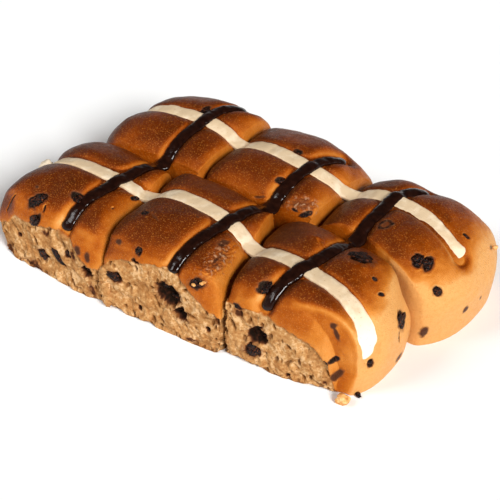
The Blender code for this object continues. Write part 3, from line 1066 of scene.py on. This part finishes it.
# %% [markdown]
# ## The whole dough
#
# The crust is satin from its glaze and the crumb is matt, so roughness and relief are mixed by
# the same amounts as the colours. The relief of the crust is its blisters and its grain, and
# that of the crumb is its cells.

# %% Crust and crumb finish
CRUST_IOR = 1.45


def milk_dough_baked():
    """Crust and crumb, each with its own colour, roughness and relief."""
    material, place = new_finish("milk_dough_baked")
    bake, is_crumb, pit, stain_and_shade, gloss = (
        add_node(material, "Attribute", out="Fac", attribute_name=name)
        for name in ("bake", "crumb", "pit", "stain_and_shade", "gloss"))
    mottle, blisters, grain, cells = (
        add_node(material, "TexNoise", {"Vector": place, "Scale": 1 / size, "Detail": detail,
                                        "Roughness": roughness})
        for size, detail, roughness in ((MOTTLE, 3.0, 0.5), (BLISTER, 1.0, 0.5), (GRAIN, 2.0, 0.5),
                                        (CRUMB_CELL, 5.0, 0.6)))
    crust = crust_colour(material, bake, mottle, blisters)
    crumb = crumb_colour(material, place, pit, cells)
    colour = add_node(material, "Mix", {0: is_crumb, 6: crust, 7: crumb}, out=2, data_type="RGBA")
    satin = add_node(material, "MapRange", {"Value": mottle, "From Min": 0.3, "From Max": 0.7,
                                            "To Min": 0.30, "To Max": 0.46})
    satin = add_node(material, "Mix", {0: gloss, 2: satin, 3: 0.22})
    blistered = add_node(material, "Math", {0: blisters, 1: 1.2, 2: grain}, operation="MULTIPLY_ADD")
    return finish_surface(
        material,
        {"Base Color": stained_colour(material, colour, stain_and_shade, gloss, mottle), "IOR": CRUST_IOR,
         "Roughness": add_node(material, "Mix", {0: is_crumb, 2: satin, 3: 0.9}),
         "Specular IOR Level": 0.20, "Specular Tint": "#FFDCB8"},
        height=add_node(material, "Mix", {0: is_crumb, 2: blistered, 3: cells}),
        strength=add_node(material, "Mix", {0: is_crumb, 2: 0.45, 3: 0.4}))


baked_dough = milk_dough_baked()
print("nodes in the finish of the crust and crumb:", len(baked_dough.node_tree.nodes))

# %% [markdown]
# ## Baking the skins
#
# Heat comes from above, so the browning follows how much a point faces up and how high it
# stands. The foot browns too, from the hot tray. The crust is paler beside the tear and towards
# the right end. Slopes that face right are painted paler, as painted light, and slopes that face
# left browner, as painted shade. High on the walls of the seams the crust is painted dark, as
# painted shade in the creases. The flanks carry faint upright streaks. Each skin is moved by its
# relief first, so that each small cushion browns on its own top, and then it is given its amounts
# and set in the scene in place of its solid.

# %% Bake the buns
PALEST, BY_FACING, BY_HEIGHT = 0.02, 0.66, 0.14      # what every point has, and what heat adds
TEAR_PALENESS, TEAR_REACH = 0.20, 5 * MM
PAINTED_SEAM_SHADE, TEAR_BROWNING = 0.64, 0.68            # how dark the walls of a seam are painted, as painted shade in the creases, and how far those of a tear brown
FOOT_BROWNING, FOOT_HEIGHT = 0.28, 26 * MM           # the tray's own heat
BAKED_HEIGHTS = 16 * MM, 38 * MM                     # between these a flank turns into a top
CLOUDS = ((24, 0.08, 23), (7, 0.06, 29))             # size in mm, amount and shift of uneven heat
STREAK, STREAK_AMOUNT = np.array([2.6, 2.6, 16]) * MM, 0.05
PALE_END = (                 # along x in mm, and how much paler
    (64, 0), (90, 0.15), (107, 0.29), (116, 0.24), (126, 0.18))
LEFT_PAINTED_SHADE, RIGHT_PAINTED_LIGHT = 0.42, 0.22           # painted shade on slopes that face left, painted light on slopes that face right


def browning_and_shading(skin):
    """From 0, pale dough, to 1, the darkest crust, with painted shade in the seams and on slopes that face
    left, and painted light on slopes that face right.
    """
    along, height = skin.points[:, 0], skin.points[:, 2]
    high = ease(height, *BAKED_HEIGHTS)
    up = ease(skin.facing[:, 2], 0.1, 1.04)
    up = np.maximum(up, TEAR_BROWNING * ease(skin.past_tear, -8 * MM, -1 * MM))
    # Painted shade: high on the walls of the seams the crust is painted as dark as a top, for the shade in
    # the creases, except towards the right end.
    seam_shade_share = high * (1 - ease(along, 72 * MM, 95 * MM))
    for _, past in skin.seams:
        up = np.maximum(up, PAINTED_SEAM_SHADE * seam_shade_share * ease(past, -14 * MM, -5 * MM))
    places, paleness = np.array(PALE_END).T
    pale_end = np.interp(along / MM, places, paleness) * (1.5 - up)
    bake = PALEST + BY_FACING * up + BY_HEIGHT * high - pale_end
    # Painted shade and light: slopes that face left are painted browner and slopes that face right paler,
    # as the lamp on the right shades and lights them.
    bake += LEFT_PAINTED_SHADE * high * ease(-skin.facing[:, 0], 0.1, 0.7)
    bake -= RIGHT_PAINTED_LIGHT * ease(skin.facing[:, 0], 0.1, 0.7)
    for size, amount, shift in CLOUDS:
        bake += amount * lumps(skin.points, size * MM, shift)
    bake += STREAK_AMOUNT * (1 - up) * lumps(skin.points, STREAK, 37)
    above, short = above_tear(skin)
    from_tear = np.hypot(np.maximum(above, 0), np.maximum(short, 0))
    bake -= TEAR_PALENESS * np.exp(-(from_tear / TEAR_REACH) ** 1.5)
    bake += FOOT_BROWNING * (1 - ease(height, 1 * MM, FOOT_HEIGHT))
    return np.clip(bake, 0, 1)


def set_out(name, mesh, finish, slot, *replaced):
    """Puts a finished piece on the slab's body, in place of the solids that it stands for."""
    mesh.materials.append(finish)
    piece = in_scene(name, mesh)
    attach(piece, "root")
    if replaced:
        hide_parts(*replaced)


for skin in skins.values():
    offsets = skin.facing * skin.shape[:, None]
    offsets[:, 1] += skin.roll
    offsets[:, 2] += skin.lift
    skin.move(offsets)
    for name, amounts in (("bake", browning_and_shading(skin)), ("crumb", skin.crumb), ("pit", skin.pits),
                          ("stain_and_shade", skin.stain_and_shade), ("gloss", skin.gloss)):
        keep(skin.mesh, name, amounts)
    set_out(skin.bun.name.replace("bun", "baked_bun"), skin.mesh, baked_dough, "crust", skin.bun.name)
print("highest crust:", round(max(skin.points[:, 2].max() for skin in skins.values()) / MM, 1), "mm")

# %% [markdown]
# ## Chocolate chips
#
# A chip that was broken and half melted is a lump with a few flat faces. A ball is pushed in
# and out by lumps, cut off by a few planes at random, stretched to the mark's size, and set so
# that most of it lies in the dough. A large chip is three such lumps in a clump. All the chips of
# the crust are one mesh, and all those of the crumb another.

# %% Lumps of chocolate
CHIP_FACETS = 5
CHIP_FACET_DEPTHS = (0.72, 0.95)         # how far from the middle a chip may be cut flat
CHIP_FACET_REACH = 0.3       # a cut leaves alone what lies nearer the middle than this
CHIP_LUMPS = ((0.9, 0.36), (0.42, 0.26), (0.2, 0.14))    # size and height, as shares of its radius


def ball(subdivisions):
    """The points and faces of a ball of radius 1 with nearly even triangles."""
    form = bmesh.new()
    bmesh.ops.create_icosphere(form, subdivisions=subdivisions, radius=1)
    points = np.array([vertex.co for vertex in form.verts])
    faces = np.array([[vertex.index for vertex in face.verts] for face in form.faces])
    form.free()
    return points, faces


whole_ball = ball(3)


def broken_lump(chance):
    """A rough lump within a ball of radius 1."""
    points, faces = whole_ball
    radius = 1 + sum(height * lumps(points, wide, chance.uniform(0, 20)) for wide, height in CHIP_LUMPS)
    for _ in range(CHIP_FACETS):
        way = chance.normal(size=3)
        along = points @ (way / np.linalg.norm(way))
        facet = chance.uniform(*CHIP_FACET_DEPTHS) / np.maximum(along, CHIP_FACET_REACH)
        radius = np.where(along > CHIP_FACET_REACH, np.minimum(radius, facet), radius)
    return points * radius[:, None], faces


print("points in a lump:", len(whole_ball[0]))

# %% [markdown]
# ## Chips in the dough
#
# A chip lies along its mark, with its lower part in the dough. Its chocolate melted in the oven
# and set again, so it is duller than a fresh chip.

# %% Chips
CHOCOLATE_IOR = 1.5
CHIP_RISE = 0.30             # how high a chip stands out, as a share of its width
LARGE_CHIP = 6.5             # mm, above which a chip has broken into three
BROKEN_APART = 0.42          # how far the three lie from the middle, as a share of the chip


def chip_at(mark, chance):
    """Lumps that lie in the skin at a mark: a large chip has broken into three."""
    skin = mark.skin
    centre, up = skin.points[mark.index], skin.facing[mark.index]
    half_height = 0.5 * CHIP_RISE * mark.wide + 0.8
    whole = (mark.long / 2, mark.wide / 2, half_height)
    parts = [((0, 0, 0), 1.0)]
    if mark.long > LARGE_CHIP:
        parts = [((BROKEN_APART * math.cos(angle), BROKEN_APART * math.sin(angle),
                   chance.uniform(-0.2, 0.25)), chance.uniform(0.5, 0.72))
                 for angle in chance.uniform(0, 2) + np.array([0, 2.1, 4.2])]
    shapes = []
    for place, share in parts:
        points, faces = broken_lump(chance)
        scaled = (points * share + place) * whole * MM
        sunk = up * (half_height - CHIP_RISE * mark.wide) * MM
        shapes.append((centre - sunk + scaled @ np.array([mark.lengthways, mark.sideways, up]), faces))
    return shapes


def joined(name, shapes):
    """One mesh of many points and faces."""
    points, faces, start = [], [], 0
    for some, links in shapes:
        points.append(some)
        faces.append(links + start)
        start += len(some)
    return smooth_mesh(name, np.concatenate(points), np.concatenate(faces).tolist())


def dark_chocolate_baked():
    """Dark chocolate that melted and set in the oven: duller than when it went in, with a grey
    bloom here and there and small wet-looking glints where it pooled."""
    material, place = new_finish("dark_chocolate_baked")
    bloom = add_node(material, "TexNoise", {"Vector": place, "Scale": 1 / (1.1 * MM), "Detail": 4.0})
    colour = add_node(material, "ValToRGB", {"Fac": bloom}, stops=(
        (0.42, "#0A0301"), (0.54, "#1E0A04"), (0.62, "#4A200E"), (0.74, "#8A4C22")))
    gloss = add_node(material, "MapRange", {"Value": bloom, "From Min": 0.35, "From Max": 0.65,
                                            "To Min": 0.2, "To Max": 0.6})
    return finish_surface(material, {"Base Color": colour, "IOR": CHOCOLATE_IOR, "Roughness": gloss,
                                     "Specular IOR Level": 0.16}, bloom, 0.9)


baked_chocolate = dark_chocolate_baked()
chance = np.random.default_rng(3)
for kind, name in (("chip", "chips_in_crust"), ("chunk", "chips_in_crumb")):
    mesh = joined(name, [shape for mark in marks if mark.kind == kind for shape in chip_at(mark, chance)])
    set_out(name, mesh, baked_chocolate, "chocolate")
    print(name, "has", len(mesh.polygons), "triangles")

# %% [markdown]
# ## Piping along a crust
#
# A strip has to lie on the crust as it now is, with its troughs and creases. From above each
# point of the route, a ray finds the real surface, and the line is softened, as a thick paste
# bridges what it can't follow. A Shrinkwrap modifier would follow every crease instead.

# %% Drop a route
DROP_FROM, DROP_TO = 8 * MM, 5 * MM      # where rays start above a route, and how far below they go


def ways_along(route):
    """The unit direction, the sideways direction and the up direction at each route point. The
    side is level at the middle, and is turned as little as possible from there to the ends,
    because straight down an end no direction is more level than another."""
    ahead = np.gradient(route, axis=0)
    ahead /= np.linalg.norm(ahead, axis=1, keepdims=True)
    side = np.cross([0, 0, 1], ahead)
    middle, last = len(route) // 2, len(route)
    for this, before in [*((i, i - 1) for i in range(middle + 1, last)),
                         *((i, i + 1) for i in range(middle - 1, -1, -1))]:
        side[this] = side[before] - ahead[this] * side[before].dot(ahead[this])
    side /= np.linalg.norm(side, axis=1, keepdims=True)
    return ahead, side, np.cross(ahead, side)


def surface_of(meshes):
    """A tree that rays can be cast at, made of several meshes."""
    points, faces = [], []
    for mesh in meshes:
        start = len(points)
        points += [vertex.co.copy() for vertex in mesh.vertices]
        faces += [[start + v for v in polygon.vertices] for polygon in mesh.polygons]
    return BVHTree.FromPolygons(points, faces)


def drop_onto(route, surface, bridge):
    """The route moved onto a surface, and softened over the bridge's length."""
    up = ways_along(route)[2]
    route = route + up * sum(settling(name, route) for name in skins)[:, None]
    depth = np.zeros(len(route))
    for i, (point, way) in enumerate(zip(route, up)):
        hit = surface.ray_cast(Vector(point + way * DROP_FROM), Vector(-way), DROP_FROM + DROP_TO)
        depth[i] = DROP_FROM - hit[3] if hit[0] else math.nan
    found = ~np.isnan(depth)
    first = found.argmax()
    depth = np.interp(np.arange(len(route)), np.flatnonzero(found), depth[found])
    return softened((route + up * depth[:, None])[first:], max(1, round(bridge / STRIP_STEP)))


crusts = surface_of([skin.mesh for skin in skins.values()])
print("meshes that rays can be cast at:", len(skins))

# %% [markdown]
# ## Piping along a route
#
# A strip could be a curve with a bevel, but its section would be the same all along. A loft
# from sections along the route lets the width wander, the top ripple and the ends round off.

# %% Loft for strips
ROUND_POINTS = 28            # round a strip
BLUNT = 0.004                # what is left of the section's area at a strip's very tip


@dataclass
class Piping:
    """A strip's section: full width, height above the crust, depth below it, how square its
    top is (2 is an ellipse), over what length it is softened as it bridges creases, the size
    and height in mm of the ripples on its top, and how far its width wanders, as a ratio."""

    width: float
    height: float
    depth: float
    squareness: float
    bridge: float
    ripples: tuple
    waver: float


def pipe_strip(name, route, piping, widths, tip_lengths):
    """A closed loft along the route. Widths are a ratio for each side at each section, and tip
    lengths say over what length each end rounds off."""
    ahead, side, up = ways_along(route)
    along = steps_along(route)
    ends = np.ones(len(route))
    for length, distance in zip(tip_lengths, (along, along[-1] - along)):
        rounded = np.sqrt(np.clip(1 - (1 - distance / length) ** 2, BLUNT, 1))
        ends = np.minimum(ends, np.where(distance < length, rounded, 1))
    angles = np.linspace(0, 2 * math.pi, ROUND_POINTS, endpoint=False)
    square = 2 / piping.squareness
    across = np.sign(np.cos(angles)) * np.abs(np.cos(angles)) ** square
    rise = np.sign(np.sin(angles)) * np.abs(np.sin(angles)) ** square
    rise = np.where(rise > 0, rise * piping.height, rise * piping.depth)
    half = piping.width / 2 * np.where(across[None, :] > 0, widths[0][:, None], widths[1][:, None])
    tapered = ends[:, None, None]
    points = (route[:, None] + side[:, None] * (across * half)[..., None] * tapered
              + up[:, None] * rise[None, :, None] * np.sqrt(tapered))
    flat = points.reshape(-1, 3)
    ripple = sum(height * MM * lumps(flat, size * MM, 71) for size, height in piping.ripples)
    points += up[:, None] * (ripple.reshape(-1, ROUND_POINTS) * (rise > 0))[..., None]
    numbers = np.arange(points.shape[0] * ROUND_POINTS).reshape(-1, ROUND_POINTS)
    first, second = numbers[:-1], numbers[1:]
    quads = np.stack([first, np.roll(first, -1, 1), np.roll(second, -1, 1), second], axis=2)
    faces = quads.reshape(-1, 4).tolist() + [numbers[0, ::-1].tolist(), numbers[-1].tolist()]
    return smooth_mesh(name, points.reshape(-1, 3), faces)


def wander(route, piping, seed):
    """A strip's width ratio on either side, which wanders about 1."""
    waves = ((9, 1.0, 0), (3.5, 0.5, 9), (1.6, 0.3, 3))      # length in mm, share and shift
    return [1 + piping.waver * sum(share * lumps(route, length * MM, seed + side + shift)
                                   for length, share, shift in waves) for side in (0, 5)]


print("a strip has", ROUND_POINTS, "points round it, every", STRIP_STEP / MM, "mm")

# %% [markdown]
# ## Flour paste
#
# The white strips are flour and water, piped with a flat nozzle. They bake to a dull, slightly
# porous cream, with faint pinholes and no gloss, toasted a little where they face the heat. The
# pinholes are painted darker, as painted shade inside them. The shape of each end is the
# piper's: where the nozzle was lifted, the strip narrows, bends or ends in a blob.

# %% Paste finish and strips
PASTE = Piping(PASTE_WIDTH, 0.9 * MM, 2.8 * MM, 3.0, 1.2 * MM, ((6, 0.30), (2.4, 0.12)), 0.09)
PASTE_TIPS = (4 * MM, 4 * MM)            # over what length the left and the right end round off
PASTE_ENDS = {               # distance from the right end and width there, as mm and a ratio
    "front": ((0, 0.9), (4, 1.1), (10, 1.5), (16, 1.45), (23, 1.0), (34, 0.95)),
    "back": ((0, 1.0), (4, 1.05), (9, 0.66), (18, 0.75), (32, 0.95)),
}
PASTE_SWAY = {"front": ((0, 3.5), (8, 1.8), (15, 0)), "back": ((0, 0), (1, 0))}


def flour_paste_baked():
    material, place = new_finish("flour_paste_baked")
    toast = add_node(material, "Attribute", out="Fac", attribute_name="toast")
    cloud = add_node(material, "TexNoise", {"Vector": place, "Scale": 1 / (6 * MM), "Detail": 5.0})
    toasted = add_node(material, "Math", {0: cloud, 1: 0.5, 2: toast}, operation="MULTIPLY_ADD")
    colour = add_node(material, "ValToRGB", {"Fac": toasted}, stops=(
        (0.25, "#F2E6D2"), (0.55, "#F2E2C8"), (0.9, "#EAD5B6"), (1.25, "#DABF9A")))
    holes = add_node(material, "TexVoronoi", {"Vector": place, "Scale": 1 / (2.6 * MM)})
    pin = add_node(material, "MapRange", {"Value": holes, "From Min": 0.05, "From Max": 0.18,
                                          "To Min": 1.0, "To Max": 0.0})
    # Painted shade: the pinholes are painted a darker tan, for the shade inside them.
    pinhole_shade = add_node(material, "Math", {0: pin, 1: 0.55}, operation="MULTIPLY")
    colour = add_node(material, "Mix", {0: pinhole_shade, 6: colour, 7: "#B98A55"}, out=2, data_type="RGBA")
    grain = add_node(material, "TexNoise", {"Vector": place, "Scale": 1 / (0.7 * MM), "Detail": 3.0})
    height = add_node(material, "Math", {0: pin, 1: -1.0, 2: grain}, operation="MULTIPLY_ADD")
    return finish_surface(material, {"Base Color": colour, "Roughness": 0.65,
                                     "Specular IOR Level": 0.3}, height, 0.2)


def swayed(route, stops):
    """The route bent sideways near its right end, by amounts at distances from that end."""
    distances, sways = np.array(stops).T * MM
    along = steps_along(route)
    return route + ways_along(route)[1] * np.interp(along[-1] - along, distances, -sways)[:, None]


baked_paste = flour_paste_baked()
paste_meshes = []
for seed, place in enumerate(rows):
    name = "paste_strip_" + place
    route = drop_onto(swayed(routes[name], PASTE_SWAY[place]), crusts, PASTE.bridge)
    along = steps_along(route)
    distances, ratios = np.array(PASTE_ENDS[place]).T
    widths = [side * np.interp(along[-1] - along, distances * MM, ratios)
              for side in wander(route, PASTE, 3 * seed)]
    mesh = pipe_strip(name, route, PASTE, widths, PASTE_TIPS)
    facing = ways_along(route)[2][:, 2].repeat(ROUND_POINTS)
    keep(mesh, "toast", 0.75 * ease(facing, 0.2, 0.98))
    paste_meshes.append(mesh)
    set_out(name.replace("strip", "piped"), mesh, baked_paste, "paste", name)
    print(name, "length", round(along[-1] / MM), "mm")

# %% [markdown]
# ## Dark chocolate
#
# The dark strips were piped on as a soft chocolate paste and set hard: nearly black, rounder
# than the white ones, and glossy enough to mirror a lamp as a thin broken streak. Each was begun
# at the edge above the torn side, so its front end is a rounded lobe, and each pooled a little
# where it crossed the valley between the rows.

# %% Chocolate finish and strips
CHOCOLATE = Piping(CHOCOLATE_WIDTH, 1.9 * MM, 2.6 * MM, 2.2, 1.6 * MM, ((6, 0.45), (2.4, 0.12)), 0.17)
CHOCOLATE_TIPS = (3 * MM, 4 * MM)        # over what length the front and the back end round off
POOL, POOL_REACH = 0.5, 3.5 * MM         # how much wider, as a ratio, and over what length


def dark_chocolate_set():
    material, place = new_finish("dark_chocolate_set")
    ripple = add_node(material, "TexNoise", {"Vector": place, "Scale": 1 / (3 * MM), "Detail": 2.0})
    colour = add_node(material, "ValToRGB", {"Fac": ripple}, stops=((0.3, "#150603"), (0.7, "#240E06")))
    gloss = add_node(material, "MapRange", {"Value": ripple, "From Min": 0.3, "From Max": 0.7,
                                            "To Min": 0.12, "To Max": 0.26})
    return finish_surface(material, {"Base Color": colour, "IOR": CHOCOLATE_IOR, "Roughness": gloss,
                                     "Specular IOR Level": 0.24}, ripple, 0.18)


set_chocolate = dark_chocolate_set()
crusts_and_paste = surface_of([skin.mesh for skin in skins.values()] + paste_meshes)
for seed, place in enumerate(columns):
    name = "chocolate_strip_" + place
    route = drop_onto(routes[name], crusts_and_paste, CHOCOLATE.bridge)
    from_valley = route[:, 1] - level_at(ROWS, 0, route[:, 0])
    widths = wander(route, CHOCOLATE, 40 + 3 * seed)
    widths[1] = widths[1] + POOL * np.exp(-(from_valley / POOL_REACH) ** 2)
    mesh = pipe_strip(name, route, CHOCOLATE, widths, CHOCOLATE_TIPS)
    set_out(name.replace("strip", "piped"), mesh, set_chocolate, "chocolate", name)
    print(name, "length", round(steps_along(route)[-1] / MM), "mm")

# %% [markdown]
# ## Crumbs
#
# Handling leaves bits: a tan crumb and a sliver of chocolate that fell at the front right foot,
# two pale crumbs on the middle bun, a nub of paste at the left end of the front strip and a nub
# of dough on the right bun's rim. They are lumps like the chips, in the finish of what they
# broke off from.

# %% Crumbs and nubs
LOOSE = (                    # name, finish, slot, place, size and turn: mm and degrees
    ("crumb_fallen", "crumb", "crust", (103, -64.5, 2.9), (8.4, 6.4, 5.8), 20),
    ("sliver_fallen", "chip", "chocolate", (105.5, -55.5, 1.3), (6.5, 3.0, 2.4), -35),
    ("crumb_on_chip", "crumb", "crust", (16.0, -76.5, 44.8), (2.4, 2.0, 1.8), 0),
    ("crumb_on_crust", "crumb", "crust", (19.5, -73.5, 45.6), (4.0, 2.2, 2.0), 60),
    ("nub_of_paste", "paste", "paste", (-123.0, -37.5, 40.0), (8.0, 9.0, 7.0), 15),
    ("nub_of_dough", "crumb", "crust", (123.5, 52, 37), (3.2, 3.6, 3.0), 10),
)
SEAM_CRUMBS = (4.5, 8, 12, 15, 19.5, 23, 26)     # heights of the tufts between two torn buns, mm


def plain_crumb():
    """Dough that broke off: matt, open and tan, paler where it was never skinned over."""
    material, place = new_finish("dough_crumb")
    cells = add_node(material, "TexNoise", {"Vector": place, "Scale": 1 / CRUMB_CELL, "Detail": 5.0})
    colour = add_node(material, "ValToRGB", {"Fac": cells}, stops=(
        (0.3, "#C07A34"), (0.5, "#E4A45C"), (0.7, "#F4C88C")))
    return finish_surface(material, {"Base Color": colour, "Roughness": 0.85}, cells, 0.8)


loose_finishes = {"crumb": plain_crumb(), "chip": baked_chocolate, "paste": baked_paste}
for name, finish, slot, place, size, turn in LOOSE:
    points, faces = broken_lump(chance)
    angle = math.radians(turn)
    turned = np.array([[math.cos(angle), math.sin(angle), 0],
                       [-math.sin(angle), math.cos(angle), 0], [0, 0, 1]])
    points = (points * np.array(size) / 2) @ turned + place
    mesh = joined(name, [(np.maximum(points, (-math.inf, -math.inf, 0)) * MM, faces)])
    keep(mesh, "toast", 0.5)
    set_out(name, mesh, loose_finishes[finish], slot)
print("loose pieces:", len(LOOSE))

shapes = []
for height in SEAM_CRUMBS:
    points, faces = broken_lump(chance)
    line = level_at(FRONT_LEFT, 1, np.array([FRONT_LEFT[0][1] * MM]))[0] / MM
    place = (line + chance.uniform(-0.5, 0.5), -78.2 + chance.uniform(-0.5, 0.5), height)
    shapes.append(((points * (3.2, 2.6, 4.0) + place) * MM, faces))
mesh = joined("crumb_in_seam", shapes)
keep(mesh, "crumb", 1)
set_out("crumb_in_seam", mesh, baked_dough, "crust")

# %% [markdown]
# ## Floor and light
#
# A pale floor and three sources. The main soft light stands on the right and a little in front,
# and draws the streaks on the chocolate. A weaker one on the left in front fills the torn side.
# The sky is bright only near the horizon: that gives the far rims their greyish sheen and
# leaves the tops deep brown. A sun with a wide angle acts as a softbox far away, so the floor is
# lit evenly out to its edges.

# %% Floor, lights and sky
def soft_sun(name, azimuth, elevation, strength, angle):
    """A distant soft light. Its place and its width in the sky are in degrees."""
    light = bpy.data.lights.new(name, "SUN")
    light.energy, light.angle = strength, math.radians(angle)
    in_scene(name, light, way_out(math.radians(azimuth), math.radians(elevation)))


soft_sun("right_softbox", 64, 35, 3.9, 20)
soft_sun("left_softbox", -42, 42, 1.3, 24)

floor_mesh = bpy.data.meshes.new("floor")
floor_mesh.from_pydata([(-3, -3, 0), (3, -3, 0), (3, 3, 0), (-3, 3, 0)], [], [(0, 1, 2, 3)])
floor_finish, _ = new_finish("matt_white_board")
finish_surface(floor_finish, {"Base Color": "#FBFBFA", "Roughness": 0.95})
floor_mesh.materials.append(floor_finish)
in_scene("floor", floor_mesh)

world = bpy.data.worlds.new("studio")
world.use_nodes = True
height = add_node(world, "SeparateXYZ", {0: add_node(world, "TexCoord", out="Generated")}, out="Z")
glow = add_node(world, "ValToRGB", {"Fac": height}, stops=(
    (0.0, (0.75, 0.75, 0.75, 1)), (0.16, (0.36, 0.36, 0.36, 1)), (0.38, (0.06, 0.06, 0.06, 1))))
world.node_tree.links.new(glow, world.node_tree.nodes["Background"].inputs["Color"])
bpy.context.scene.world = world
bpy.context.scene.view_settings.view_transform = "Standard"
